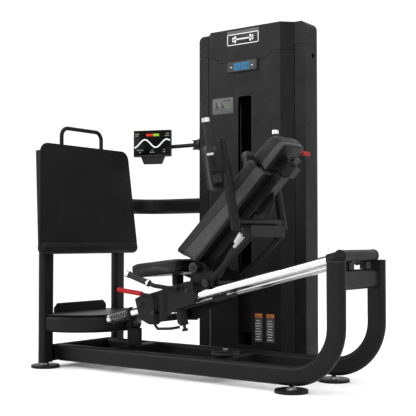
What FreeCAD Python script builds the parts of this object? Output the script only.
import FreeCAD, Part
import math
import os
import Sketcher
from FreeCAD import Placement, Rotation, Vector

# Plate-loaded-by-stack leg press: an inclined seat carriage on two guide rails, a fixed
# footplate and a weight tower. Millimetres, +Z up, +X from the footplate towards the tall
# uprights, +Y towards the tower. The origin is the centre of the bounding box, on the floor.

DIMENSIONS = {
    # floor frame
    "tube_wide": 100, "tube_thick": 50, "tube_wall": 3,
    "mid_y": -139, "base_gap": 438, "base_z": 82, "bend_radius": 250,
    "base_start_x": -905, "upright_x": 965, "upright_top": 645,
    "crossbar_z": 558, "mid_cross_x": -518, "pulley_cross_x": 210,
    "post_x": -930, "post_gap": 633, "post_foot_z": 30, "post_top": 1060,
    "foot_diameter": 170, "foot_thick": 16, "foot_x": 712,
    # step between the posts
    "step_radius": 320, "step_z": 260, "tray_thick": 6, "tray_back_x": -955, "upstand_top": 372,
    # guide rails and stops
    "rail_angle": 14, "rail_gap": 285, "rail_diameter": 50, "rail_x": 74.2, "rail_z": 451.7,
    "rail_low": -672, "rail_high": 900, "stop_bar_diameter": 62, "stop_bar_length": 352,
    "stop_bar_z": 675, "spring_wire": 7, "spring_radius": 31, "spring_turns": 8,
    "spring_low": -650, "spring_length": 144,
    # footplate
    "plate_half_low": 433, "plate_half_high": 386, "plate_low_z": 700, "plate_high_z": 1338,
    "plate_lean": 4.4, "plate_front_x": -867, "plate_thick": 8, "plate_corner": 62,
    "lip_height": 72, "lip_bulge": 30, "handle_half": 176, "handle_top": 1446,
    "handle_diameter": 25, "handle_x": -950,
    # tower
    "tower_x": -26, "tower_front_y": 325, "tower_flange_y": 387, "tower_back_y": 572,
    "front_half": 256, "shoulder_half": 318, "tower_half": 392, "tower_base_z": 22,
    "seam_z": 1893, "rear_seam_z": 1925, "tower_top": 2060, "shell_wall": 2.5, "back_corner": 60,
    "slot_half": 48, "slot_low": 122, "slot_high": 1636, "guide_rod_gap": 250,
    "guide_rod_diameter": 25, "stack_y": 465, "plate_width": 340, "plate_depth": 120,
    "plate_height": 25, "plate_pitch": 25.5, "stack_base_z": 190,
    # carriage
    "side_plate_y": 181, "side_plate_thick": 8, "recline_x": 55, "recline_z": 604,
    "arm_pivot_x": 150, "arm_pivot_z": 523, "pin_diameter": 24,
    # seat, back and head
    "seat_width": 380, "seat_length": 318, "seat_thick": 56, "seat_angle": 6.6,
    "back_angle": 46, "back_width": 230, "head_width": 220,
    # shoulder frame
    "arm_half": 147, "bar_half": 233, "cross_x": 387, "cross_z": 848, "bar_diameter": 50,
    "cross_diameter": 40, "arm_diameter": 36,
}

doc = FreeCAD.newDocument("leg_press")
sheet = doc.addObject("Spreadsheet::Sheet", "D")
X_AXIS = Vector(1, 0, 0)
Y_AXIS = Vector(0, 1, 0)
Z_AXIS = Vector(0, 0, 1)
STANDING = Rotation(X_AXIS, 90)      # sketch x, y become X, Z; padding runs along -Y
TOWARDS_X = Rotation(Y_AXIS, 90)     # padding runs along +X
TOWARDS_Y = Rotation(X_AXIS, -90)    # padding runs along +Y
CHIN = [(-224, 3), (199, 3), (199, 0), (149, -38), (-170, -38), (-224, 0)]  # under the cap's front
CHIN_GAP = [(-227, 9), (202, 9), (202, -2), (150, -40), (-171, -40), (-227, -2)]    # and its gap
FIXED_PLATES = 11                    # weight plates left at rest
MOVING_PLATES = 5                    # weight plates on the selector stem
CONSOLE_HUB = (-470, 420, 1372)      # X, Y, Z of the console arm's swivel
SCREEN_CENTRE = (-777, 348, 1394)    # X, Y, Z of the screen's middle
SCREEN_TURN = 20                     # degrees from the tower's front plane, towards +X
SCREEN_PIVOT = (-786, 385, 1372)     # X, Y, Z of the screen's tilt axis
STRUT_FOOT = (150, 556)              # X, Z of the strut's lower pin, on the carriage
STRUT_TOP = (332, -61.5)             # along and out of the backrest, of its upper pin
STRUT_PLANE = -66                    # across, from the machine's middle plane
RELEASE_PIVOT = (602, 1172)          # X, Z of the release lever's axle
LOCK_PIN_DISTANCE = -132             # along the rails
LOCK_PIN_OFFSET = -142               # across, from the machine's middle plane
BAR_TOP = (300, 1290)                # X, Z of the shoulder bar's upper end
BAR_FOOT = (390, 806)                # X, Z of the shoulder bar's lower end
GRIP_TOP = (272, -480, 1388)         # X, Y, Z of the hand grip's upper end
GRIP_KNEE = (294, -446, 1122)        # X, Y, Z of the hand grip tube's bend
members = {}
pieces = {}


def fill_sheet():
    """Write every dimension into the sheet, each under its own alias."""
    for row, (alias, value) in enumerate(DIMENSIONS.items(), start=1):
        sheet.set("A%d" % row, alias)
        sheet.set("B%d" % row, str(value))
        sheet.setAlias("B%d" % row, alias)
    doc.recompute()


def dim(alias):
    """Value of one sheet dimension, in millimetres."""
    return float(sheet.get(alias))


def value_of(expression):
    """The number behind an expression, written either as a number or with D.alias names."""
    if isinstance(expression, (int, float)):
        return float(expression)
    return float(sheet.evalExpression(expression.replace("D.", "")))


def bind(target, name, expression):
    """Tie a property to the sheet, or set it when the size is a plain number."""
    if isinstance(expression, str):
        target.setExpression(name, expression)
    elif "." in name:
        target.setExpression(name, "%r" % float(expression))
    else:
        setattr(target, name, expression)


def place(target, position, rotation=None):
    """Rotation first, then each coordinate tied to its expression."""
    target.Placement = Placement(Vector(*[value_of(part) for part in position]),
                                 rotation or Rotation())
    for letter, part in zip("xyz", position):
        if isinstance(part, str):
            target.setExpression("Placement.Base." + letter, part)


# ---------------------------------------------------------------- primitives and groups

def box(name, size, corner, rotation=None):
    """Named box with sheet-driven sides."""
    solid = doc.addObject("Part::Box", name)
    for side, expression in zip(("Length", "Width", "Height"), size):
        bind(solid, side, expression)
    place(solid, corner, rotation)
    return solid


def cylinder(name, radius, height, start, direction=Z_AXIS):
    """Named cylinder along the given axis."""
    solid = doc.addObject("Part::Cylinder", name)
    bind(solid, "Radius", radius)
    bind(solid, "Height", height)
    place(solid, start, Rotation(Z_AXIS, direction))
    return solid


def rounded(name, base, radius, keep_edge):
    """Part::Fillet on the edges that keep_edge picks out."""
    doc.recompute()
    picked = [number for number, edge in enumerate(base.Shape.Edges, start=1) if keep_edge(edge)]
    fillet = doc.addObject("Part::Fillet", name)
    fillet.Base = base
    fillet.Edges = [(number, radius, radius) for number in picked]
    return fillet


def cut(name, base, tools):
    """Boolean difference of one shape and a list of tools."""
    for number, tool in enumerate(tools, start=1):
        step = doc.addObject("Part::Cut", "%s_cut%d" % (name, number))
        step.Base = base
        step.Tool = tool
        base = step
    return base


def fuse(name, solids):
    """Boolean union of a list of shapes."""
    joined = doc.addObject("Part::MultiFuse", name)
    joined.Shapes = solids
    return joined


def made(name, shape, position=(0, 0, 0), rotation=None):
    """A Part::Feature for a shape that neither a body nor a primitive can make."""
    feature = doc.addObject("Part::Feature", name)
    feature.Shape = shape
    place(feature, position, rotation)
    feature.Placement = feature.Placement.multiply(shape.Placement)
    return feature


def keep(label, *solids):
    """Solids of one node of the finished object; later calls add to the same node."""
    members.setdefault(label, []).extend(solids)


def make_nodes():
    """Label each single solid, and gather each group of solids under one label."""
    for label, solids in members.items():
        if len(solids) == 1:
            piece = solids[0]
        else:
            piece = doc.addObject("Part::Compound", label + "_group")
            piece.Links = solids
        piece.Label = label
        pieces[label] = piece


def along_edge(direction):
    """Edge picker: straight edges that run along a direction."""
    def picker(edge):
        if not isinstance(edge.Curve, Part.Line):
            return False
        return abs(edge.tangentAt(edge.FirstParameter).dot(direction)) > 0.999
    return picker


# ---------------------------------------------------------------- sketches and bodies

def sketch_on(body, role, name):
    """Empty sketch placed on the given plane."""
    plane = [feature for feature in body.Origin.OriginFeatures if feature.Role == role][0]
    sketch = body.newObject("Sketcher::SketchObject", name)
    sketch.AttachmentSupport = [(plane, "")]
    sketch.MapMode = "FlatFace"
    return sketch


def constrain(sketch, constraint, expression):
    """Add one constraint driven by the sheet."""
    index = sketch.addConstraint(constraint)
    if isinstance(expression, str):
        sketch.setExpression("Constraints[%d]" % index, expression)


def stadium(sketch, wide, thick, upright=True, centre=0):
    """A flat-oval section: two half circles joined by two straight sides."""
    radius = value_of(thick) / 2
    reach = value_of(wide) / 2 - radius
    shift = value_of(centre)
    if upright:
        ends = (Vector(shift, reach, 0), Vector(shift, -reach, 0))
        angle = 0
    else:
        ends = (Vector(shift - reach, 0, 0), Vector(shift + reach, 0, 0))
        angle = math.pi / 2
    side = Vector(math.cos(angle), math.sin(angle), 0) * radius
    arcs = [Part.ArcOfCircle(Part.Circle(ends[0], Z_AXIS, radius), angle, angle + math.pi),
            Part.ArcOfCircle(Part.Circle(ends[1], Z_AXIS, radius), angle + math.pi, angle + 2 * math.pi)]
    lines = [Part.LineSegment(ends[0] - side, ends[1] - side),
             Part.LineSegment(ends[1] + side, ends[0] + side)]
    first, second, left, right = sketch.addGeometry(arcs + lines, False)
    chain = ((first, left), (left, second), (second, right), (right, first))
    sketch.addConstraint([Sketcher.Constraint("Tangent", one, 2, other, 1) for one, other in chain])
    constrain(sketch, Sketcher.Constraint("Radius", first, radius), "(%s) / 2" % thick)
    along = "DistanceY" if upright else "DistanceX"
    low, high = (second, first) if upright else (first, second)
    constrain(sketch, Sketcher.Constraint(along, low, 3, high, 3, 2 * reach), "(%s) - (%s)" % (wide, thick))


def tube_section(sketch, upright=True, centre=0):
    """The frame's hollow flat-oval tube."""
    stadium(sketch, "D.tube_wide", "D.tube_thick", upright, centre)
    stadium(sketch, "D.tube_wide - 2 * D.tube_wall", "D.tube_thick - 2 * D.tube_wall", upright, centre)


def straight_tube(name, length, position, rotation, upright=True):
    """Hollow flat-oval tube, straight."""
    body = doc.addObject("PartDesign::Body", name)
    section = sketch_on(body, "XY_Plane", name + "_section")
    tube_section(section, upright)
    pad = body.newObject("PartDesign::Pad", name + "_pad")
    pad.Profile = section
    bind(pad, "Length", length)
    place(body, position, rotation)
    return body


def outline(sketch, points):
    """A closed outline of straight sides, each corner tied to its pair of expressions."""
    corners = [Vector(value_of(across), value_of(up), 0) for across, up in points]
    following = corners[1:] + corners[:1]
    lines = sketch.addGeometry([Part.LineSegment(a, b) for a, b in zip(corners, following)], False)
    for number, line in enumerate(lines):
        after = lines[(number + 1) % len(lines)]
        sketch.addConstraint(Sketcher.Constraint("Coincident", line, 2, after, 1))
        for kind, expression, size in zip(("DistanceX", "DistanceY"), points[number],
                                          (corners[number].x, corners[number].y)):
            if abs(size) > 1e-6:
                constrain(sketch, Sketcher.Constraint(kind, -1, 1, line, 1, size), expression)


def plate(name, points, thickness, position, rotation, fillets=(), middle=True):
    """A body padded from an outline; fillets are (radius, edge picker) pairs."""
    body = doc.addObject("PartDesign::Body", name)
    sketch = sketch_on(body, "XY_Plane", name + "_outline")
    outline(sketch, points)
    pad = body.newObject("PartDesign::Pad", name + "_pad")
    pad.Profile = sketch
    bind(pad, "Length", thickness)
    pad.Midplane = middle
    for number, (radius, keep_edge) in enumerate(fillets, start=1):
        doc.recompute()
        before = body.Tip
        numbered = enumerate(before.Shape.Edges, start=1)
        picked = ["Edge%d" % index for index, edge in numbered if keep_edge(edge)]
        fillet = body.newObject("PartDesign::Fillet", "%s_fillet%d" % (name, number))
        fillet.Base = (before, picked)
        fillet.Radius = radius
    place(body, position, rotation)
    return body


# ---------------------------------------------------------------- bent round tubes

def bent_wire(points, bend):
    """Straight runs joined by tangent arcs of one bend radius."""
    edges = []
    start = points[0]
    for corner, after in zip(points[1:-1], points[2:]):
        incoming = (start - corner).normalize()
        outgoing = (after - corner).normalize()
        half_turn = (math.pi - incoming.getAngle(outgoing)) / 2
        setback = bend * math.tan(half_turn)
        first = corner + incoming * setback
        last = corner + outgoing * setback
        towards = (incoming + outgoing).normalize()
        depth = bend / math.cos(half_turn) - bend
        edges.append(Part.LineSegment(start, first).toShape())
        edges.append(Part.Arc(first, corner + towards * depth, last).toShape())
        start = last
    edges.append(Part.LineSegment(start, points[-1]).toShape())
    return Part.Wire(edges)


def bent_rod(points, radius, bend, bore=0):
    """A round rod or tube swept along a bent route."""
    route = bent_wire(points, bend)
    direction = points[1] - points[0]
    rims = [radius] + ([bore] if bore else [])
    solids = []
    for rim in rims:
        circle = Part.Wire([Part.Circle(points[0], direction, rim).toShape()])
        solids.append(route.makePipeShell([circle], True, False))
    return solids[0].cut(solids[1]) if bore else solids[0]


def mirrored(shape):
    """The same shape on the other side of the machine's middle plane."""
    return shape.mirror(Vector(0, dim("mid_y"), 0), Y_AXIS)


# ---------------------------------------------------------------- floor frame

def base_tube(side, offset):
    """One floor tube: straight along the floor, then bent up into its upright."""
    body = doc.addObject("PartDesign::Body", "base_tube_" + side)
    section = sketch_on(body, "YZ_Plane", "section_" + side)
    tube_section(section)
    path = sketch_on(body, "XZ_Plane", "path_" + side)
    bend = dim("bend_radius")
    run = dim("upright_x") - dim("base_start_x") - bend
    rise = dim("upright_top") - dim("base_z")
    floor_run, corner, upright = path.addGeometry([
        Part.LineSegment(Vector(0, 0, 0), Vector(run, 0, 0)),
        Part.ArcOfCircle(Part.Circle(Vector(run, bend, 0), Z_AXIS, bend), -math.pi / 2, 0),
        Part.LineSegment(Vector(run + bend, bend, 0), Vector(run + bend, rise, 0))], False)
    path.addConstraint([
        Sketcher.Constraint("Coincident", floor_run, 1, -1, 1), Sketcher.Constraint("Horizontal", floor_run),
        Sketcher.Constraint("Tangent", floor_run, 2, corner, 1),
        Sketcher.Constraint("Tangent", corner, 2, upright, 1), Sketcher.Constraint("Vertical", upright)])
    constrain(path, Sketcher.Constraint("DistanceX", floor_run, 1, floor_run, 2, run),
              "D.upright_x - D.base_start_x - D.bend_radius")
    constrain(path, Sketcher.Constraint("Radius", corner, bend), "D.bend_radius")
    constrain(path, Sketcher.Constraint("DistanceY", -1, 1, upright, 2, rise), "D.upright_top - D.base_z")
    doc.recompute()
    pipe = body.newObject("PartDesign::AdditivePipe", "pipe_" + side)
    pipe.Profile = section
    pipe.Spine = path
    place(body, ("D.base_start_x", "D.mid_y %s D.base_gap / 2" % offset, "D.base_z"))
    keep("base_tube_" + side, body)


def tube_caps():
    """Low domed plugs on top of the two uprights."""
    caps = []
    for side, offset in (("near", "-"), ("far", "+")):
        blank = box("cap_blank_" + side, ("D.tube_wide", "D.tube_thick", 8),
                    ("D.upright_x - D.tube_wide / 2", "D.mid_y %s D.base_gap / 2 - D.tube_thick / 2" % offset,
                     "D.upright_top"))
        upright = rounded("cap_oval_" + side, blank, 24, along_edge(Z_AXIS))
        top = dim("upright_top") + 8
        caps.append(rounded("cap_" + side, upright, 5, lambda edge: edge.BoundBox.ZMin > top - 0.1))
    keep("upright_caps", *caps)


def cross_tubes():
    """Tubes along Y: ahead of the posts, under the carriage, under the pulley."""
    between_posts = "D.post_gap - D.tube_wide"
    front = straight_tube("front_cross", between_posts,
                          ("D.post_x", "D.mid_y - (D.post_gap - D.tube_wide) / 2", "D.base_z"), TOWARDS_Y)
    crossings = [front]
    for name, place_x in (("mid_cross", "D.mid_cross_x"), ("pulley_cross", "D.pulley_cross_x")):
        crossings.append(straight_tube(name, "D.base_gap - D.tube_thick",
                                       (place_x, "D.mid_y - (D.base_gap - D.tube_thick) / 2", "D.base_z"),
                                       TOWARDS_Y))
    keep("cross_tubes", *crossings)
    bar = straight_tube("rear_bar", "D.base_gap - D.tube_thick",
                        ("D.upright_x", "D.mid_y - (D.base_gap - D.tube_thick) / 2", "D.crossbar_z"),
                        TOWARDS_Y)
    keep("cross_tubes", bar)


def footplate_posts():
    """The two posts that carry the footplate."""
    posts = []
    for side, offset in (("near", "-"), ("far", "+")):
        posts.append(straight_tube("post_" + side, "D.post_top - D.post_foot_z",
                                   ("D.post_x", "D.mid_y %s D.post_gap / 2" % offset, "D.post_foot_z"),
                                   Rotation()))
    keep("footplate_posts", *posts)


def foot_places():
    """Centres of the four levelling feet, as expressions."""
    for offset in "-+":
        yield "D.post_x", "D.mid_y %s D.post_gap / 2" % offset, "D.post_foot_z"
        yield "D.foot_x", "D.mid_y %s D.base_gap / 2" % offset, "D.base_z - D.tube_wide / 2"


def feet():
    """Four levelling feet: a stem and a rubber disc each."""
    pads = []
    stems = []
    for number, (place_x, place_y, top) in enumerate(foot_places()):
        disc = cylinder("disc%d" % number, "D.foot_diameter / 2", "D.foot_thick", (place_x, place_y, 0))
        height = value_of("D.foot_thick")
        pads.append(rounded("pad%d" % number, disc, 5,
                            lambda edge: edge.BoundBox.ZMin > height - 0.1 and edge.isClosed()))
        stems.append(cylinder("stem%d" % number, 12, "%s - D.foot_thick" % top,
                              (place_x, place_y, "D.foot_thick")))
    keep("levelling_feet", *pads)
    keep("levelling_feet", *stems)


def step():
    """Half-ring tube ahead of the posts, with a flat tray on it and an upstand behind."""
    body = doc.addObject("PartDesign::Body", "band")
    section = sketch_on(body, "XZ_Plane", "band_section")
    tube_section(section, True, "D.step_radius")
    centre = value_of("D.step_radius")
    constrain(section, Sketcher.Constraint("DistanceX", -1, 1, 0, 3, centre), "D.step_radius")
    constrain(section, Sketcher.Constraint("DistanceX", -1, 1, 4, 3, centre), "D.step_radius")
    turn = body.newObject("PartDesign::Revolution", "band_turn")
    turn.Profile = section
    turn.ReferenceAxis = (section, ["V_Axis"])
    turn.Angle = 180
    turn.Midplane = True
    place(body, ("D.base_start_x", "D.mid_y", "D.step_z"))
    keep("step_band", body)
    top = "D.step_z + D.tube_wide / 2"
    disc = cylinder("tray_disc", "D.step_radius + D.tube_thick / 2 - 3", "D.tray_thick",
                    ("D.base_start_x", "D.mid_y", top))
    behind = box("tray_behind", (800, 900, 60), ("D.base_start_x - 800", "D.mid_y - 450", "%s - 20" % top))
    front = cut("tray_front", disc, [behind])
    floor = box("tray_floor", ("D.base_start_x - D.tray_back_x", "D.post_gap - D.tube_wide - 6",
                               "D.tray_thick"),
                ("D.tray_back_x", "D.mid_y - (D.post_gap - D.tube_wide) / 2 + 3", top))
    upstand = box("tray_upstand", ("D.tray_thick", 458, "D.upstand_top - D.step_z - D.tube_wide / 2"),
                  ("D.tray_back_x", "D.mid_y - 229", top))
    corner = doc.addObject("Part::Chamfer", "tray_corners")
    doc.recompute()
    corner.Base = upstand
    corner.Edges = [(number, 28, 28) for number, edge in enumerate(upstand.Shape.Edges, start=1)
                    if along_edge(X_AXIS)(edge) and edge.BoundBox.ZMin > dim("upstand_top") - 1]
    keep("step_tray", fuse("tray", [front, floor, corner]))


def upper_brace():
    """Tube that leaves the far post, bends and runs into the tower's left side."""
    start_y = value_of("D.mid_y + D.post_gap / 2 + D.tube_wide / 2")
    end_x = value_of("D.tower_x - D.tower_half")
    run_y = 480
    bend = 180
    section = bent_wire([Vector(dim("post_x"), start_y, 980), Vector(dim("post_x"), run_y, 980),
                         Vector(end_x, run_y, 980)], bend)
    shells = []
    for shrink in (0, dim("tube_wall")):
        half_wide = dim("tube_wide") / 2 - shrink
        half_thick = dim("tube_thick") / 2 - shrink
        straight = half_wide - half_thick
        centre = Vector(dim("post_x"), start_y, 980)
        right_side = centre + Vector(half_thick, 0, 0)
        left_side = centre - Vector(half_thick, 0, 0)
        lift = Vector(0, 0, straight)
        dome = Vector(0, 0, half_wide)
        profile = Part.Wire([
            Part.LineSegment(right_side - lift, right_side + lift).toShape(),
            Part.Arc(right_side + lift, centre + dome, left_side + lift).toShape(),
            Part.LineSegment(left_side + lift, left_side - lift).toShape(),
            Part.Arc(left_side - lift, centre - dome, right_side - lift).toShape()])
        shells.append(section.makePipeShell([profile], True, False))
    keep("upper_brace", made("upper_brace", shells[0].cut(shells[1])))


# ---------------------------------------------------------------- rails and stops

def rail_point(distance, offset=0, lift=0):
    """A point on a rail's line: distance along it from the carriage's middle, then sideways."""
    slope = math.radians(dim("rail_angle"))
    return Vector(dim("rail_x") + distance * math.cos(slope) - lift * math.sin(slope),
                  dim("mid_y") + offset,
                  dim("rail_z") + distance * math.sin(slope) + lift * math.cos(slope))


def rail_direction():
    """Unit vector along the rails, pointing up them."""
    slope = math.radians(dim("rail_angle"))
    return Vector(math.cos(slope), 0, math.sin(slope))


def rail_piece(name, radius, length, distance, offset):
    """A cylinder threaded on a rail's line."""
    start = rail_point(distance, offset)
    return cylinder(name, radius, length, (start.x, start.y, start.z), rail_direction())


def rails():
    """The two inclined guide rails."""
    tubes = []
    for side, sign in (("near", -1), ("far", 1)):
        offset = sign * dim("rail_gap") / 2
        outer = rail_piece("rail_" + side, "D.rail_diameter / 2", "D.rail_high - D.rail_low",
                           dim("rail_low"), offset)
        bore = rail_piece("rail_bore_" + side, "D.rail_diameter / 2 - 4", "D.rail_high - D.rail_low",
                          dim("rail_low"), offset)
        tubes.append(cut("rail_" + side, outer, [bore]))
    keep("guide_rails", *tubes)


def stop_bar():
    """Round bar across the rails' upper ends, its end caps, sockets and brackets."""
    start_y = "D.mid_y - D.stop_bar_length / 2"
    bar = cylinder("bar", "D.stop_bar_diameter / 2", "D.stop_bar_length",
                   ("D.upright_x", start_y, "D.stop_bar_z"),
                   Y_AXIS)
    parts = [bar]
    for name, place_y in (("near", start_y + " - 7"), ("far", "D.mid_y + D.stop_bar_length / 2")):
        cap = cylinder("bar_cap_" + name, "D.stop_bar_diameter / 2 + 2", 7,
                       ("D.upright_x", place_y, "D.stop_bar_z"),
                       Y_AXIS)
        parts.append(rounded("bar_end_" + name, cap, 2.5, lambda edge: edge.isClosed()))
    for side, sign in (("near", -1), ("far", 1)):
        offset = sign * dim("rail_gap") / 2
        sleeve = rail_piece("socket_" + side, "D.rail_diameter / 2 + 7", 62, dim("rail_high") - 66, offset)
        hole = rail_piece("socket_hole_" + side, "D.rail_diameter / 2", 62, dim("rail_high") - 66, offset)
        parts.append(cut("socket_" + side, sleeve, [hole]))
    keep("stop_bar", *parts)
    brackets = []
    for sign in "-+":
        brackets.append(box("bar_bracket",
                            (36, 50, "D.stop_bar_z - D.stop_bar_diameter / 2 - D.crossbar_z - 50"),
                            ("D.upright_x - 18", "D.mid_y %s 90 - 25" % sign, "D.crossbar_z + 50")))
    keep("stop_bar", *brackets)


def springs():
    """Coil buffers at the foot of each rail, and the rubber buffers with them."""
    coils = []
    rubbers = []
    pitch = dim("spring_length") / dim("spring_turns")
    for side, sign in (("near", -1), ("far", 1)):
        offset = sign * dim("rail_gap") / 2
        helix = Part.makeHelix(pitch, dim("spring_length"), dim("spring_radius"))
        ring = Part.Wire([Part.Circle(Vector(dim("spring_radius"), 0, 0), Y_AXIS,
                                      dim("spring_wire") / 2).toShape()])
        coil = Part.Wire(helix).makePipeShell([ring], True, True)
        start = rail_point(dim("spring_low"), offset)
        coils.append(made("coil_" + side, coil, (start.x, start.y, start.z),
                          Rotation(Z_AXIS, rail_direction())))
        after = dim("spring_low") + dim("spring_length") + 6
        washer = rail_piece("washer_" + side, 37, 11, after, offset)
        hole = rail_piece("washer_hole_" + side, "D.rail_diameter / 2 + 0.1", 11, after, offset)
        rubbers.append(cut("washer_" + side, washer, [hole]))
    keep("buffer_springs", *coils)
    post_top = 232
    stub = cylinder("buffer_core", 17, 44, ("D.mid_cross_x + 10", "D.mid_y", post_top + 17), X_AXIS)
    face = value_of("D.mid_cross_x + 50")
    rubbers.append(rounded("buffer_dome", stub, 12,
                           lambda edge: edge.isClosed() and edge.CenterOfMass.x > face))
    keep("rubber_buffers", *rubbers)
    post = straight_tube("buffer_post_tube", post_top - dim("base_z") - 50,
                         ("D.mid_cross_x + 12", "D.mid_y", 132),
                         Rotation(Z_AXIS, 90))
    head = box("buffer_head", (44, 60, 34), ("D.mid_cross_x - 34", "D.mid_y - 30", post_top))
    keep("buffer_post", post, rounded("buffer_block", head, 6, along_edge(Z_AXIS)))


# ---------------------------------------------------------------- footplate

def footplate():
    """Leaning sheet with side flanges, rounded top corners and a bullnose heel lip."""
    height = dim("plate_high_z") - dim("plate_low_z")
    low = dim("plate_half_low")
    high = dim("plate_half_high")
    corner = dim("plate_corner")
    sides = Part.makePolygon([Vector(-low, 0, 0), Vector(low, 0, 0), Vector(high, height, 0),
                              Vector(-high, height, 0), Vector(-low, 0, 0)])
    blank = Part.Face(sides).extrude(Vector(0, 0, dim("plate_thick")))
    upper = [edge for edge in blank.Edges if edge.BoundBox.YMin > height - 1 and edge.BoundBox.XLength < 1]
    parts = [blank.makeFillet(corner, upper)]
    for sign in (-1, 1):
        foot = Vector(sign * low, 20, 4)
        head = Vector(sign * (high + 5), height - corner + 16, 4)
        wedge = Part.makePolygon([foot, head, head - Z_AXIS * 38, foot - Z_AXIS * 12, foot])
        parts.append(Part.Face(wedge).extrude(Vector(-sign * 6, 0, 0)))
    radius = dim("lip_height") / 2
    reach = low - radius
    parts.append(Part.makeCylinder(radius, 2 * reach, Vector(-reach, 8, -8), X_AXIS))
    parts += [Part.makeSphere(radius, Vector(sign * reach, 8, -8)) for sign in (-1, 1)]
    behind = Part.makeBox(2000, 120, 200, Vector(-1000, -60, -212))
    hollow = Part.makeCylinder(radius - 5, 2 * reach, Vector(-reach, 8, -8), X_AXIS)
    brace_gap = Part.makeBox(80, 116, 60, Vector(375, 222, -60.2))
    solid = parts[0].multiFuse(parts[1:]).cut([behind, hollow, brace_gap])
    across = Rotation(Z_AXIS, 90) * Rotation(X_AXIS, 90)
    keep("footplate", made("footplate_solid", solid, ("D.plate_front_x", "D.mid_y", "D.plate_low_z"),
                           Rotation(Y_AXIS, -dim("plate_lean")) * across))


def footplate_handle():
    """Bent round handle above the footplate."""
    half = dim("handle_half")
    mid = dim("mid_y")
    place_x = dim("handle_x")
    top = dim("handle_top")
    low = dim("plate_high_z") - 130
    route = [Vector(place_x, mid - half, low), Vector(place_x, mid - half, top),
             Vector(place_x, mid + half, top), Vector(place_x, mid + half, low)]
    loop = bent_rod(route, dim("handle_diameter") / 2, 52, dim("handle_diameter") / 2 - 2.5)
    keep("footplate_handle", made("handle_loop", loop))
    brackets = []
    for sign in "-+":
        brackets.append(box("plate_bracket", (43, 40, 40),
                            ("D.handle_x - 8", "D.mid_y %s D.handle_half - 20" % sign,
                             "D.plate_high_z - 170")))
    rails_behind = []
    for place_z in (820, 990):
        rails_behind.append(box("plate_rib", (20, "D.post_gap - D.tube_wide - 8", 50),
                                ("D.post_x - 10", "D.mid_y - (D.post_gap - D.tube_wide) / 2 + 4", place_z)))
    keep("footplate_posts", *(brackets + rails_behind))


# ---------------------------------------------------------------- weight tower

def across_tower(offset):
    """X position, measured from the tower's middle, as an expression."""
    return "D.tower_x + (%s)" % offset


def shroud_outline(wall):
    """Front shroud's bent section in plan, one wall thickness in from the outside."""
    return [("D.tower_x - D.shoulder_half + %s" % wall, "D.tower_flange_y"),
            ("D.tower_x - D.front_half + %s / 2" % wall, "D.tower_front_y + %s" % wall),
            ("D.tower_x + D.front_half - %s / 2" % wall, "D.tower_front_y + %s" % wall),
            ("D.tower_x + D.shoulder_half - %s" % wall, "D.tower_flange_y")]


def front_shroud():
    """Front shell of the tower with its stack slot."""
    points = shroud_outline("0") + list(reversed(shroud_outline("D.shell_wall")))
    shell = plate("front_shell", points, "D.seam_z - D.tower_base_z - 2", (0, 0, "D.tower_base_z"),
                  Rotation(),
                  middle=False)
    window = box("slot_window", ("2 * D.slot_half", 60, "D.slot_high - D.slot_low"),
                 (across_tower("-D.slot_half"), "D.tower_front_y - 20", "D.slot_low"))
    opening = rounded("slot_rounded", window, 14, along_edge(Y_AXIS))
    notch = plate("chin_notch", CHIN_GAP, 24, (across_tower("0"), "D.tower_front_y", "D.seam_z"), STANDING)
    keep("front_shroud", cut("front_shroud", shell, [opening, notch]))


def rear_shroud():
    """Channel around the tower's back and sides, open to the front shroud."""
    depth = "D.tower_back_y - D.tower_flange_y"
    height = "D.rear_seam_z - D.tower_base_z - 2"
    outer = box("rear_outer", ("2 * D.tower_half", depth, height),
                (across_tower("-D.tower_half"), "D.tower_flange_y", "D.tower_base_z"))
    back = value_of("D.tower_back_y")
    shell = rounded("rear_rounded", outer, dim("back_corner"),
                    lambda edge: along_edge(Z_AXIS)(edge) and edge.BoundBox.YMin > back - 1)
    inner = box("rear_inner", ("2 * D.tower_half - 2 * D.shell_wall", depth + " - 2 * D.shell_wall", height),
                (across_tower("-D.tower_half + D.shell_wall"), "D.tower_flange_y + D.shell_wall",
                 "D.tower_base_z"))
    hollow = rounded("rear_hollow", inner, dim("back_corner") - dim("shell_wall"),
                     lambda edge: along_edge(Z_AXIS)(edge) and edge.BoundBox.YMin > back - 9)
    mouth = box("rear_mouth", ("2 * D.shoulder_half + 4", 30, height),
                (across_tower("-D.shoulder_half - 2"), "D.tower_flange_y - 10", "D.tower_base_z"))
    vent = cylinder("side_hole", 14, 30, (across_tower("D.tower_half - 15"), "D.tower_flange_y + 90", 1861),
                    X_AXIS)
    keep("rear_shroud", cut("rear_shroud", shell, [hollow, mouth, vent]))


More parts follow.
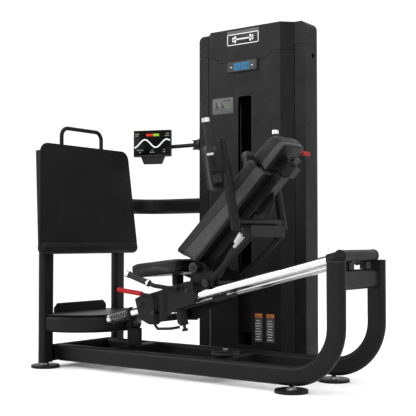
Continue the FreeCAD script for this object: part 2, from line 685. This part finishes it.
def top_cap():
    """Hollow cap over both shrouds: bent front, rounded back and a chin over the display."""
    front_height = "D.tower_top - D.seam_z"
    height = "D.tower_top - D.rear_seam_z"
    front = plate("cap_front", shroud_outline("0"), front_height, (0, 0, "D.seam_z"), Rotation(),
                  middle=False)
    block = box("cap_block", ("2 * D.tower_half", "D.tower_back_y - D.tower_flange_y", height),
                (across_tower("-D.tower_half"), "D.tower_flange_y", "D.rear_seam_z"))
    back = value_of("D.tower_back_y")
    rear = rounded("cap_rear", block, dim("back_corner"),
                   lambda edge: along_edge(Z_AXIS)(edge) and edge.BoundBox.YMin > back - 1)
    top = value_of("D.tower_top")
    dome = rounded("cap_dome", rear, 34, lambda edge: edge.BoundBox.ZMin > top - 1 and edge.BoundBox.YMax >
                   value_of("D.tower_flange_y") + 1)
    wall = 8
    room = box("cap_room", ("2 * D.tower_half - %d" % (2 * wall),
                            "D.tower_back_y - D.tower_flange_y - %d" % (2 * wall),
                            "%s - %d" % (height, wall)),
               (across_tower("-D.tower_half + %d" % wall), "D.tower_flange_y + %d" % wall, "D.rear_seam_z"))
    room_side = rounded("cap_room_side", room, dim("back_corner") - wall,
                        lambda edge: along_edge(Z_AXIS)(edge) and edge.BoundBox.YMin > back - wall - 1)
    hollow = rounded("cap_hollow", room_side, 34 - wall, lambda edge: edge.BoundBox.ZMin > top - wall - 1
                     and edge.BoundBox.YMax > value_of("D.tower_flange_y") + wall + 1)
    mouth = box("cap_mouth", ("2 * D.shoulder_half - 12", 20, "%s - %d" % (height, wall)),
                (across_tower("-D.shoulder_half + 6"), "D.tower_flange_y - 2", "D.rear_seam_z"))
    front_room = plate("cap_front_room", shroud_outline("6"), "%s - 6" % front_height, (0, 0, "D.seam_z"),
                       Rotation(),
                       middle=False)
    shell = cut("cap_front_shell", front, [front_room])
    chin = plate("cap_chin", CHIN, 6, (across_tower("0"), "D.tower_front_y + 3", "D.seam_z"), STANDING)
    keep("top_cap", fuse("cap", [cut("cap_shell", dome, [hollow, mouth]), shell, chin]))


def tower_trim():
    """Display bezel, blank badge, placard and two guide labels on the front face."""
    bezel = box("bezel", (222, 14, 70), (across_tower("-124"), "D.tower_front_y - 14", 1786))
    keep("display_panel", rounded("bezel_round", bezel, 9, lambda edge: edge.BoundBox.YMax <
                                  dim("tower_front_y") - 13 or along_edge(Y_AXIS)(edge)))
    plates_on = []
    for name, left, low, wide, tall in (("placard", -242, 1538, 158, 100), ("label_a", 73, 146, 54, 170),
                                        ("label_b", 155, 146, 56, 168), ("badge", -130, 1960, 236, 88)):
        plates_on.append(box(name, (wide, 1.6, tall), (across_tower(left), "D.tower_front_y - 1.6", low)))
    keep("info_plates", *plates_on)


def tower_frame():
    """Plinth, inner posts and top beam of the tower."""
    base = box("plinth", (740, 168, 60), (across_tower("-370"), "D.tower_flange_y + 10", 0))
    back = value_of("D.tower_flange_y + 177")
    soft = rounded("plinth_round", base, dim("back_corner"),
                   lambda edge: along_edge(Z_AXIS)(edge) and edge.BoundBox.YMin > back)
    under = box("plinth_under", (640, 120, 54), (across_tower("-320"), "D.tower_flange_y + 30", 0))
    keep("tower_frame", cut("plinth", soft, [under]))
    posts = []
    for name, offset in (("left", -360), ("right", 310)):
        post = box("inner_" + name, (50, 80, 1790), (across_tower(offset), "D.stack_y - 40", 60))
        room = box("inner_room_" + name, (42, 72, 1790), (across_tower(offset + 4), "D.stack_y - 36", 60))
        posts.append(cut("inner_" + name, post, [room]))
    posts.append(box("inner_beam", (720, 80, 40), (across_tower(-360), "D.stack_y - 40", 1850)))
    keep("tower_frame", *posts)
    rods = []
    cushions = []
    for name, sign in (("left", "-"), ("right", "+")):
        place_x = across_tower("%s D.guide_rod_gap / 2" % sign)
        rods.append(cylinder("guide_" + name, "D.guide_rod_diameter / 2", 1790, (place_x, "D.stack_y", 60)))
        cushion = cylinder("cushion_" + name, 32, "D.stack_base_z - 60.5", (place_x, "D.stack_y", 60))
        hole = cylinder("cushion_hole_" + name, "D.guide_rod_diameter / 2 + 0.1", 200,
                        (place_x, "D.stack_y", 50))
        cushions.append(cut("cushion_" + name, cushion, [hole]))
    keep("guide_rods", *rods)
    keep("rubber_buffers", *cushions)


def weight_plate(number):
    """One stack plate with its two guide holes and the selector stem's hole."""
    name = "weight%d" % number
    level = "D.stack_base_z + %d * D.plate_pitch" % number
    slab = box(name, ("D.plate_width", "D.plate_depth", "D.plate_height"),
               (across_tower("-D.plate_width / 2"), "D.stack_y - D.plate_depth / 2", level))
    holes = []
    for side, offset in (("l", "-D.guide_rod_gap / 2"), ("r", "D.guide_rod_gap / 2")):
        holes.append(cylinder(name + side, "D.guide_rod_diameter / 2 + 0.6", 30,
                              (across_tower(offset), "D.stack_y", level)))
    holes.append(cylinder(name + "c", 11.2, 30, (across_tower("0"), "D.stack_y", level)))
    holes.append(cylinder(name + "p", 5.4, "D.plate_depth", (across_tower("0"), "D.stack_y - D.plate_depth",
                                                              level + " + D.plate_height / 2"), Y_AXIS))
    return cut(name, slab, holes)


def weight_stack():
    """Resting plates, lifted plates and the stem that lifts them."""
    keep("resting_plates", *[weight_plate(number) for number in range(FIXED_PLATES)])
    keep("lifted_plates", *[weight_plate(FIXED_PLATES + number) for number in range(MOVING_PLATES)])
    top = "D.stack_base_z + %d * D.plate_pitch" % (FIXED_PLATES + MOVING_PLATES)
    pin_z = "D.stack_base_z + %d * D.plate_pitch + D.plate_height / 2" % FIXED_PLATES
    stem = cylinder("stem", 10, top + " - D.stack_base_z", (across_tower("0"), "D.stack_y", "D.stack_base_z"))
    pin_way = cylinder("stem_way", 5.4, 60, (across_tower("0"), "D.stack_y - 30", pin_z), Y_AXIS)
    keep("selector_stem", cut("selector_stem", stem, [pin_way]))
    head = box("head_block", (64, 44, 130), (across_tower("-32"), "D.stack_y - 22", top))
    eye = cylinder("head_eye", 12, 60, (across_tower("0"), "D.stack_y - 30", top + " + 95"), Y_AXIS)
    keep("selector_stem", cut("stack_head", rounded("head_round", head, 8, along_edge(Y_AXIS)), [eye]))
    shaft = cylinder("pin_shaft", 5, 96, (across_tower("0"), "D.stack_y - 88", pin_z), Y_AXIS)
    knob = cylinder("pin_knob", 17, 26, (across_tower("0"), "D.stack_y - 114", pin_z), Y_AXIS)
    grip = rounded("pin_grip", knob, 5, lambda edge: edge.isClosed())
    keep("selector_pin", fuse("selector_pin", [shaft, grip]))


# ---------------------------------------------------------------- cable pulleys

def pulley(label, radius, position, direction):
    """Grooved wheel, 22 thick, centred on position, with a running bore for its 8 mm bolt."""
    centre = Vector(*[value_of(part) for part in position])
    wheel = Part.makeCylinder(radius, 22, Vector(0, 0, -11))
    groove = Part.makeTorus(radius + 3, 8)
    bore = Part.makeCylinder(8.05, 30, Vector(0, 0, -15))
    recesses = [Part.makeCylinder(radius - 14, 6,
                                  Vector(0, 0, 7)).cut(Part.makeCylinder(20, 6, Vector(0, 0, 7))),
                Part.makeCylinder(radius - 14, 6,
                                  Vector(0, 0, -13)).cut(Part.makeCylinder(20, 6, Vector(0, 0, -13)))]
    shape = wheel.cut([groove, bore] + recesses)
    keep(label, made(label, shape, (centre.x, centre.y, centre.z), Rotation(Z_AXIS, direction)))


def pulleys():
    """Top and base pulley with their bolts and cheeks."""
    pulley("base_pulley", 79, ("D.pulley_cross_x", -212, 148), Z_AXIS)
    pulley("top_pulley", 55, (across_tower("55"), "D.stack_y", 1765), Y_AXIS)
    low = cylinder("low_bolt", 8, 33, ("D.pulley_cross_x", -212, 132))
    low_head = cylinder("low_head", 15, 8, ("D.pulley_cross_x", -212, 160))
    low_seat = cylinder("low_seat", 15, 4, ("D.pulley_cross_x", -212, 132))
    high = cylinder("high_bolt", 8, 60, (across_tower("55"), "D.stack_y - 30", 1765), Y_AXIS)
    cheeks = []
    for name, offset in (("front", -24), ("back", 16)):
        cheek = box("cheek_" + name, (50, 8, 150), (across_tower("30"), "D.stack_y + (%d)" % offset, 1700))
        way = cylinder("cheek_way_" + name, 8, 30,
                       (across_tower("55"), "D.stack_y + (%d) - 10" % offset, 1765),
                       Y_AXIS)
        cheeks.append(cut("cheek_" + name, cheek, [way]))
    keep("pulley_mounts", fuse("low_axle", [low, low_head, low_seat]), high, *cheeks)


# ---------------------------------------------------------------- console


def console():
    """Bracket, arm and screen of the console."""
    hub_x, hub_y, hub_z = CONSOLE_HUB
    wall_x = value_of("D.tower_x - D.tower_half")
    disc = cylinder("console_disc", 40, 24, (wall_x - 24, hub_y, hub_z), X_AXIS)
    forks = [box("fork_%s" % name, (46, 34, 7), (hub_x - 18, hub_y - 17, level))
             for name, level in (("low", hub_z - 31), ("high", hub_z + 24))]
    spindle = cylinder("console_spindle", 6, 62, (hub_x, hub_y, hub_z - 31))
    keep("console_bracket", fuse("console_mount",
                                 [rounded("console_round", disc, 5, lambda edge: edge.isClosed()
                                                            and edge.BoundBox.XMax < wall_x - 23)] + forks
                                 + [spindle]))
    hub = Part.makeCylinder(18, 46, Vector(hub_x, hub_y, hub_z - 23))
    pivot = Vector(*SCREEN_PIVOT)
    turned = Rotation(Z_AXIS, SCREEN_TURN)
    sideways = turned.multVec(X_AXIS)
    behind = turned.multVec(Y_AXIS)
    elbow = Vector(pivot.x + behind.x * 37, hub_y, hub_z)
    reach = elbow.x - hub_x + 10
    tube = Part.makeCylinder(13, abs(reach), Vector(hub_x - 10, hub_y, hub_z), X_AXIS * -1)
    knuckle = Part.makeSphere(13, elbow)
    stub = Part.makeCylinder(13, 22, elbow, behind * -1)
    lugs = [Part.makeCylinder(11, 8, pivot + sideways * start, sideways) for start in (-21, 13)]
    bridge = Part.makeBox(42, 8, 20, Vector(-21, 12, -10))
    bridge.Placement = Placement(pivot, turned)
    pin = Part.makeCylinder(5, 42, pivot - sideways * 21, sideways)
    webs = []
    for start in (-21, 13):
        web = Part.makeBox(8, 14, 20, Vector(start, 0, -10))
        web.Placement = Placement(pivot, turned)
        webs.append(web)
    bore = Part.makeCylinder(6.05, 60, Vector(hub_x, hub_y, hub_z - 30))
    arm = hub.multiFuse([tube, knuckle, stub, bridge, pin] + lugs + webs).cut(bore)
    keep("console_arm", made("console_arm", arm))
    width, height, thick = 262, 176, 18
    shell = Part.makeBox(width, thick, height, Vector(-width / 2, -thick / 2, -height / 2))
    shell = shell.makeFillet(7, [edge for edge in shell.Edges if along_edge(Y_AXIS)(edge)])
    tray = Part.makePolygon([Vector(-84, 0, -84), Vector(84, 0, -84), Vector(62, 0, -136),
                             Vector(-62, 0, -136),
                             Vector(-84, 0, -84)])
    holder = Part.Face(tray).extrude(Vector(0, 18, 0))
    body = shell.fuse(holder)
    body.Placement = Placement(Vector(*SCREEN_CENTRE), turned)
    block = Part.makeBox(24, 38, 22, Vector(-12, -34, -11))
    barrel = Part.makeCylinder(11, 24, Vector(-12, 0, 0), X_AXIS)
    way = Part.makeCylinder(5.05, 30, Vector(-15, 0, 0), X_AXIS)
    neck = block.fuse(barrel).cut(way)
    neck.Placement = Placement(pivot, turned)
    keep("console_screen", made("console_screen", body.fuse(neck)))


# ---------------------------------------------------------------- carriage


def side_sign(side):
    """Sign of an offset in an expression: minus on the near side, plus on the far one."""
    return "-" if side == "near" else "+"


def carriage_sides():
    """Outer side plates: the near one is the shape seen from the user's left."""
    points = [(-344, 420), (-309, 308), (-238, 280), (-176, 283), (-125, 328), (-34, 376), (87, 412),
              (68, 535), (-237, 453), (-294, 442)]
    sides = []
    for side in ("near", "far"):
        sides.append(plate("side_" + side, points, "D.side_plate_thick",
                           (0, "D.mid_y %s D.side_plate_y" % side_sign(side), 0), STANDING,
                           [(7, along_edge(Z_AXIS))]))
    keep("carriage_sides", *sides)
    outer_face = value_of("D.mid_y - D.side_plate_y - D.side_plate_thick / 2")
    barrel = Part.makeCylinder(50, 148, Vector(-140, outer_face + 36, 308))
    guard = barrel.common(Part.makeBox(120, 40, 160, Vector(-200, outer_face - 40, 300)))
    rim = [edge for edge in guard.Edges if isinstance(edge.Curve, Part.Circle)]
    keep("carriage_sides", made("round_guard", guard.makeFillet(8, rim)))


def pivot_plates():
    """The two plates that carry the back's and the strut's pins."""
    points = [(-5, 519), (54, 519), (70, 500), (190, 505), (192, 545), (176, 582), (112, 586), (96, 628),
              (58, 636), (20, 628), (16, 575)]
    cheeks = []
    for side in ("near", "far"):
        sign = side_sign(side)
        cheek = plate("cheek_plate_" + side, points, 8, (0, "D.mid_y %s 112" % sign, 0), STANDING,
                      [(8, along_edge(Z_AXIS))])
        bores = [("D.recline_x", "D.recline_z", "D.pin_diameter / 2"),
                 ("D.arm_pivot_x", "D.arm_pivot_z", "D.pin_diameter / 2")]
        if side == "near":
            bores.append((STRUT_FOOT[0], STRUT_FOOT[1], 7))
        holes = [cylinder("hole_%s_%d" % (side, number), radius, 30,
                          (place_x, "D.mid_y %s 112 - 15" % sign, place_z), Y_AXIS)
                 for number, (place_x, place_z, radius) in enumerate(bores)]
        cheeks.append(cut("cheek_plate_" + side, cheek, holes))
    keep("pivot_plates", *cheeks)


def pivot_pins():
    """Recline pin with its two round bosses, arm pin with end caps, and the strut's lower pin."""
    spots = []
    for name, place_x, place_z, reach, boss, cap in (("recline", "D.recline_x", "D.recline_z", 160, 29, 50),
                                                     ("arm", "D.arm_pivot_x", "D.arm_pivot_z", 179, 21, 12)):
        shaft = cylinder("shaft_" + name, "D.pin_diameter / 2", 2 * reach,
                         (place_x, "D.mid_y - %d" % reach, place_z),
                         Y_AXIS)
        rings = [cylinder("boss_%s_low" % name, boss, cap, (place_x, "D.mid_y - %d" % (reach + 6), place_z),
                          Y_AXIS),
                 cylinder("boss_%s_high" % name, boss, cap,
                          (place_x, "D.mid_y + %d" % (reach + 6 - cap), place_z), Y_AXIS)]
        soft = [rounded("cap_%s%d" % (name, number), ring, 3, lambda edge: edge.isClosed())
                for number, ring in enumerate(rings)]
        spots.append(fuse("pivot_" + name, [shaft] + soft))
    keep("pivot_pins", *spots)


def bushings():
    """Four linear bushings that run on the rails."""
    sleeves = []
    for side, sign in (("near", -1), ("far", 1)):
        for name, distance in (("front", -408), ("rear", -95)):
            offset = sign * dim("rail_gap") / 2
            outer = rail_piece("bush_%s_%s" % (side, name), 34, 100, distance, offset)
            soft = rounded("bush_round_%s_%s" % (side, name), outer, 4, lambda edge: edge.isClosed())
            bore = rail_piece("bore_%s_%s" % (side, name), "D.rail_diameter / 2 + 0.08", 120, distance - 10,
                              offset)
            sleeves.append(cut("bush_%s_%s" % (side, name), soft, [bore]))
    keep("rail_bushings", *sleeves)


def carriage_members():
    """Cross members between the side plates and the lock pin's housing."""
    width = "2 * D.side_plate_y - D.side_plate_thick"
    left = "D.mid_y - D.side_plate_y + D.side_plate_thick / 2"
    front = box("member_front", (44, width, 36), (-262, left, 290))
    rear = box("member_rear", (54, width, 34), (0, left, 485))
    deck = box("member_deck", (188, 150, 8), (-232, "D.mid_y - 75", 470),
               Rotation(Y_AXIS, -dim("rail_angle")))
    keep("carriage_members", front, rear, deck)
    base = rail_point(LOCK_PIN_DISTANCE, LOCK_PIN_OFFSET, -140)
    up = rail_normal()
    barrel = Part.makeCylinder(26, 82, base + up * 2, up)
    bore = Part.makeCylinder(9.05, 200, base - up * 50, up)
    web = Part.makeBox(30, 30, 60, Vector(-15, -35, 12))
    web.Placement = Placement(base, Rotation(Y_AXIS, -dim("rail_angle")))
    keep("carriage_members", made("lock_pin_housing", barrel.fuse(web).cut(bore)))


def rail_normal():
    """Unit vector square to the rails, pointing up."""
    slope = math.radians(dim("rail_angle"))
    return Vector(-math.sin(slope), 0, math.cos(slope))


def lock_pin():
    """Sprung pin that locks the carriage."""
    up = rail_normal()
    low = rail_point(LOCK_PIN_DISTANCE, LOCK_PIN_OFFSET, -160)
    shaft = Part.makeCylinder(9, 116, low, up)
    knob = Part.makeCylinder(17, 15, low - up * 12, up)
    knob = knob.makeFillet(4, [edge for edge in knob.Edges if edge.isClosed() and edge.Length > 60])
    keep("lock_pin", made("lock_pin", shaft.fuse(knob)))


def start_rack():
    """Flat bar under the near rail with the start-position holes."""
    origin = rail_point(-170, LOCK_PIN_OFFSET, -52)
    bar = Part.makeBox(420, 30, 12, Vector(0, -15, 0))
    holes = [Part.makeCylinder(9.6, 30, Vector(38 + 54 * number, 0, -9)) for number in range(7)]
    end = Part.makeCylinder(13, 22, Vector(405, 0, -6))
    rack = bar.cut(holes).fuse(end)
    keep("carriage_members", made("start_rack", rack, (origin.x, origin.y, origin.z),
                            Rotation(Y_AXIS, -dim("rail_angle"))))


def start_lever():
    """Bent rod with its pivot hub, hung outside the near side plate."""
    plane = -342
    route = [Vector(-330, plane, 457.3), Vector(-205, plane, 444.6), Vector(-187, plane, 392),
             Vector(-187, plane, 292),
             Vector(-160, plane, 262), Vector(-70, plane + 8, 268), Vector(-34, -303, 276)]
    rod = bent_rod(route, 8, 18)
    hub = Part.makeCylinder(14, 16, Vector(-187, plane - 8, 350), Y_AXIS)
    bore = Part.makeCylinder(6.05, 40, Vector(-187, plane - 20, 350), Y_AXIS)
    keep("start_lever", made("start_lever", rod.fuse(hub).cut(bore)))
    grip_start = Vector(-455, plane, 470)
    along = (Vector(-273, plane, 451.5) - grip_start)
    sleeve = Part.makeCylinder(13.5, along.Length, grip_start, along)
    sleeve = sleeve.makeFillet(5, [edge for edge in sleeve.Edges if edge.isClosed()])
    keep("start_lever_grip", made("start_lever_grip",
                                  sleeve.cut(Part.makeCylinder(8.02, 60, Vector(-330, plane, 457.3),
                                                                                   along))))
    stud = Part.makeCylinder(6, 34, Vector(-187, plane - 16, 350), Y_AXIS)
    washer = Part.makeCylinder(12, 5, Vector(-187, plane - 14, 350), Y_AXIS)
    spacer = Part.makeCylinder(11, 9, Vector(-187, plane + 9, 350), Y_AXIS)
    keep("pivot_pins", made("lever_stud", stud.multiFuse([washer, spacer])))


# ---------------------------------------------------------------- seat

def seat():
    """Seat cushion with its pan and posts."""
    tilt = Rotation(Y_AXIS, -dim("seat_angle"))
    corner = (-371, "D.mid_y - D.seat_width / 2", 544)
    cushion = box("cushion", ("D.seat_length", "D.seat_width", "D.seat_thick"), corner, tilt)
    keep("seat_pad", rounded("seat_round", cushion, 24, lambda edge: isinstance(edge.Curve, Part.Line)
                             and edge.BoundBox.YLength < 1 and edge.BoundBox.ZLength > 45
                             and edge.BoundBox.XLength < 20))
    pan = box("pan", (330, 320, 6), (-340, "D.mid_y - 160", 540.6), tilt)
    post = box("post", (50, 70, 55.5), (-42, "D.mid_y - 35", 519))
    stay = box("stay", (36, 60, 60), (-196, "D.mid_y - 30", 497))
    keep("seat_bracket", pan, post, stay)


def seat_grips():
    """Grip tubes beside the seat, with sleeves and end rings."""
    near = [Vector(-352, -385, 566), Vector(-150, -385, 503), Vector(-70, -364, 492),
            Vector(-25, -338.5, 490)]
    along = near[1] - near[0]
    tube = bent_rod(near, 12, 40)
    sleeve = Part.makeCylinder(17, 138, near[0] + along * 0.113, along)
    sleeve = sleeve.cut(Part.makeCylinder(12, 220, near[0], along))
    core = Part.makeCylinder(12, 300, near[0] - along * 0.2, along)
    ends = [Part.makeCylinder(19.5, length, near[0] + along * share, along).cut(core)
            for share, length in ((0.0, 22), (0.77, 12))]
    plug = Part.makeCylinder(12, 4, near[0] - along.normalize() * 4, along)
    flange = Part.makeBox(54, 4, 36, Vector(-50, -328.2, 472))
    tube = tube.multiFuse([flange, plug])
    keep("seat_grip_tubes", made("grip_tube_near", tube), made("grip_tube_far", mirrored(tube)))
    sleeves = [sleeve, mirrored(sleeve)]
    keep("seat_grip_sleeves", *[made("grip_sleeve_%d" % number, shape) for number,
                                shape in enumerate(sleeves)])
    rings = ends + [mirrored(ring) for ring in ends]
    keep("seat_grip_rings", *[made("grip_ring_%d" % number, shape) for number, shape in enumerate(rings)])


# ---------------------------------------------------------------- backrest and headrest

def back_rotation():
    """Sketch x runs up the backrest, sketch y out of its front."""
    return Rotation(Y_AXIS, -dim("back_angle")) * STANDING


def on_back(along, out, across=0):
    """A point given in the backrest's own directions, from the recline pin."""
    spot = Rotation(Y_AXIS, -dim("back_angle")).multVec(Vector(along, across, out))
    return Vector(dim("recline_x"), dim("mid_y"), dim("recline_z")) + spot


def back_block(size, corner):
    """A box laid out in the backrest's directions: along, across, out."""
    block = Part.makeBox(*size, Vector(*corner))
    block.Placement = Placement(on_back(0, 0), Rotation(Y_AXIS, -dim("back_angle")))
    return block


def backrest():
    """Back cushion, hollow beam and the brackets between them."""
    pivot = ("D.recline_x", "D.mid_y", "D.recline_z")
    pad = plate("back_cushion",
                [(-4, 42), (660, 42), (662, 140), (640, 164), (430, 172), (200, 188), (20, 184),
                                 (-20, 166), (-35, 134)], "D.back_width", pivot, back_rotation())
    keep("back_pad", pad)
    board = back_block((640, 208, 11), (8, -104, 30.5))
    outer = back_block((712, 80, 50), (-22, -40, -21))
    inner = back_block((712 - 40, 72, 42), (30, -36, -17))
    hub = Part.makeCylinder(22, 212, on_back(0, 0, -106), Y_AXIS)
    bore = Part.makeCylinder(dim("pin_diameter") / 2 + 0.08, 300, on_back(0, 0, -150), Y_AXIS)
    beam = outer.cut(inner).fuse(hub).cut(bore)
    keep("back_beam", made("back_beam", beam))
    keep("back_brackets", made("back_board", board))
    sector = Part.makePolygon([Vector(462, 0, -21), Vector(470, 0, -90), Vector(545, 0, -62),
                               Vector(585, 0, -21),
                               Vector(462, 0, -21)])
    web = Part.Face(sector).extrude(Vector(0, 8, 0))
    web.Placement = Placement(on_back(0, 0, -4), Rotation(Y_AXIS, -dim("back_angle")))
    lug = back_block((52, 8, 59), (300, -40, -80))
    pin = Part.makeCylinder(7, 50, on_back(STRUT_TOP[0], STRUT_TOP[1], -84), Y_AXIS)
    head = Part.makeCylinder(12, 4, on_back(STRUT_TOP[0], STRUT_TOP[1], -88), Y_AXIS)
    keep("back_brackets", made("back_sector", web), made("strut_lug", lug.multiFuse([pin, head])))


def headrest():
    """Head cushion and its slider."""
    pad = plate("head_cushion",
                [(674, 53), (848, 53), (856, 92), (846, 132), (812, 152), (704, 156), (672, 140),
                                 (666, 100)], "D.head_width", ("D.recline_x", "D.mid_y", "D.recline_z"),
                back_rotation())
    keep("head_pad", pad)
    board = back_block((160, 180, 10), (682, -90, 42.5))
    bar = back_block((190, 60, 34), (560, -30, -13))
    neck = back_block((60, 60, 90), (706, -30, -48))
    tongue = back_block((46, 60, 26), (760, -30, -12))
    pivot_x, pivot_z = RELEASE_PIVOT
    axle = Part.makeCylinder(4, 124, Vector(pivot_x, dim("mid_y") - 62, pivot_z), Y_AXIS)
    keep("head_slider", made("head_slider", board.multiFuse([bar, neck, tongue, axle])))


def release_lever():
    """Wire loop with a red crossbar grip, hinged behind the headrest."""
    pivot_x, pivot_z = RELEASE_PIVOT
    half = 50
    grip_x, grip_z = 672, 1205
    mid = dim("mid_y")
    route = [Vector(pivot_x, mid - half, pivot_z), Vector(grip_x, mid - half, grip_z),
             Vector(grip_x, mid + half, grip_z), Vector(pivot_x, mid + half, pivot_z)]
    loop = bent_rod(route, 4, 12)
    hubs = [Part.makeCylinder(9, 10, Vector(pivot_x, mid + offset, pivot_z), Y_AXIS) for offset in (-55, 45)]
    bore = Part.makeCylinder(4.05, 200, Vector(pivot_x, mid - 100, pivot_z), Y_AXIS)
    keep("release_lever", made("release_lever", loop.multiFuse(hubs).cut(bore)))
    sleeve = Part.makeCylinder(11, 64, Vector(grip_x, mid - 32, grip_z), Y_AXIS)
    sleeve = sleeve.makeFillet(4, [edge for edge in sleeve.Edges if edge.isClosed()])
    keep("release_grip", made("release_grip",
                              sleeve.cut(Part.makeCylinder(4, 100, Vector(grip_x, mid - 50, grip_z),
                                                                           Y_AXIS))))


# ---------------------------------------------------------------- shoulder frame and strut

def cross_bracket():
    """Boxed bracket under the cross tube, on which the two arms end."""
    side = dim("arm_half") + 22
    return Part.makeBox(54, 2 * side, 62, Vector(388, dim("mid_y") - side, 770))


def support_arms():
    """The two straight arms of the shoulder frame."""
    plane = dim("mid_y") - dim("arm_half")
    pivot = Vector(dim("arm_pivot_x"), plane, dim("arm_pivot_z"))
    reach = Vector(434, plane, 784) - pivot
    arm = Part.makeCylinder(dim("arm_diameter") / 2, reach.Length, pivot, reach)
    hub = Part.makeCylinder(25, 36, pivot - Y_AXIS * 18, Y_AXIS)
    bore = Part.makeCylinder(dim("pin_diameter") / 2 + 0.08, 80, pivot - Y_AXIS * 40, Y_AXIS)
    near = arm.fuse(hub).cut([bore, cross_bracket()])
    keep("support_arms", made("arm_near", near), made("arm_far", mirrored(near)))


def shoulder_frame():
    """Cross tube, bars and hand-grip tubes as one welded frame."""
    mid = dim("mid_y")
    plane = mid - dim("bar_half")
    foot = Vector(BAR_FOOT[0], plane, BAR_FOOT[1])
    along = Vector(BAR_TOP[0], plane, BAR_TOP[1]) - foot
    bar = Part.makeCylinder(dim("bar_diameter") / 2, along.Length, foot, along)
    bar = bar.makeFillet(6, [edge for edge in bar.Edges if edge.isClosed()])
    root = foot + along * 0.64
    tube = bent_rod([root, Vector(*GRIP_KNEE), Vector(*GRIP_TOP)], 14, 45)
    near = bar.fuse(tube)
    cross = Part.makeCylinder(dim("cross_diameter") / 2, 2 * dim("bar_half"),
                              Vector(dim("cross_x"), plane, dim("cross_z")), Y_AXIS)
    saddle = back_block((56, 60, 40), (378, -30, -67))
    keep("shoulder_frame", made("shoulder_frame",
                                near.multiFuse([mirrored(near), cross, saddle, cross_bracket()])))
    reach = Vector(*GRIP_TOP) - Vector(*GRIP_KNEE)
    unit = Vector(reach).normalize()
    low = Vector(*GRIP_TOP) - unit * 196
    core = Part.makeCylinder(14, 320, low - unit * 40, unit)
    sleeve = Part.makeCylinder(18.5, 158, low + unit * 14, unit).cut(core)
    rings = [Part.makeCylinder(21, length, low + unit * distance, unit).cut(core)
             for distance, length in ((0, 12), (174, 22))]
    keep("hand_grip_sleeves", made("sleeve_near", sleeve), made("sleeve_far", mirrored(sleeve)))
    ring_set = rings + [mirrored(ring) for ring in rings]
    keep("hand_grip_rings", *[made("hand_ring_%d" % number, ring) for number, ring in enumerate(ring_set)])


def shoulder_pads():
    """The two shoulder cushions."""
    mid = dim("mid_y")
    lean = Rotation(Y_AXIS, -11)
    slab = Part.makeBox(46, 112, 256, Vector(0, -56, 0))
    slab = slab.makeFillet(14, slab.Edges)
    slab.Placement = Placement(Vector(204, mid - 188, 1002), lean)
    keep("shoulder_pads", made("shoulder_pad_near", slab), made("shoulder_pad_far", mirrored(slab)))
    board = Part.makeBox(5, 90, 200, Vector(46.5, -45, 28))
    arm = Part.makeBox(64, 10, 46, Vector(50, -50, 40))
    bracket = board.fuse(arm)
    bracket.Placement = Placement(Vector(204, mid - 188, 1002), lean)
    keep("shoulder_frame", made("bracket_near", bracket), made("bracket_far", mirrored(bracket)))


def strut():
    """Gas strut beside the beam: a cylinder pinned to the carriage and a rod pinned to the back."""
    foot = Vector(STRUT_FOOT[0], dim("mid_y") + STRUT_PLANE, STRUT_FOOT[1])
    top = on_back(STRUT_TOP[0], STRUT_TOP[1], STRUT_PLANE)
    along = top - foot
    length = along.Length
    unit = Vector(along).normalize()
    barrel = Part.makeCylinder(20, 184, foot + unit * 12, unit)
    barrel = barrel.makeFillet(4, [edge for edge in barrel.Edges if edge.isClosed()])
    eye = Part.makeCylinder(16, 24, foot - Y_AXIS * 12, Y_AXIS)
    bore = Part.makeCylinder(12.1, 160, foot + unit * 50, unit)
    way = Part.makeCylinder(7.05, 60, foot - Y_AXIS * 30, Y_AXIS)
    keep("strut_cylinder", made("strut_cylinder", barrel.fuse(eye).cut([bore, way])))
    rod = Part.makeCylinder(12, length - 90, foot + unit * 80, unit)
    collar = Part.makeCylinder(23, 62, foot + unit * (length - 80), unit)
    collar = collar.makeFillet(3, [edge for edge in collar.Edges if edge.isClosed()])
    ring = Part.makeCylinder(17, 18, top - Y_AXIS * 9, Y_AXIS)
    clear = Part.makeCylinder(9.8, 60, top - Y_AXIS * 30, Y_AXIS)
    keep("strut_rod", made("strut_rod", rod.multiFuse([collar, ring]).cut(clear)))
    reach = dim("mid_y") - 116
    pin = Part.makeCylinder(7, foot.y + 16 - reach, Vector(foot.x, reach, foot.z), Y_AXIS)
    keep("pivot_pins", made("strut_pin", pin))


# ---------------------------------------------------------------- build, check, write

def build():
    """Make every piece, in order."""
    fill_sheet()
    for side, offset in (("near", "-"), ("far", "+")):
        base_tube(side, offset)
    for make in (tube_caps, cross_tubes, footplate_posts, feet, step, upper_brace, rails, stop_bar, springs,
                 footplate, footplate_handle, front_shroud, rear_shroud, top_cap, tower_trim, tower_frame,
                 weight_stack, pulleys, console, carriage_sides, pivot_plates, pivot_pins, bushings,
                 carriage_members, lock_pin, start_rack, start_lever, seat, seat_grips, backrest, headrest,
                 release_lever, support_arms, shoulder_frame, shoulder_pads, strut):
        make()
    make_nodes()
    doc.recompute()


def check():
    """Stop on any piece whose state or shape is bad."""
    failed = [item.Name for item in doc.Objects if "Invalid" in item.State or "Error" in item.State]
    if failed:
        raise RuntimeError("did not build: " + ", ".join(failed))
    broken = [label for label, piece in pieces.items() if piece.Shape.isNull() or not piece.Shape.isValid()]
    if broken:
        raise RuntimeError("no valid shape: " + ", ".join(broken))
    if len(pieces) > 60:
        raise RuntimeError("too many nodes: %d" % len(pieces))


def write():
    """Write each node's solids to its own file."""
    os.makedirs("parts", exist_ok=True)
    for label, piece in pieces.items():
        piece.Shape.exportStep(os.path.join("parts", label + ".step"))
    print(len(pieces), "nodes written")


build()
check()
write()
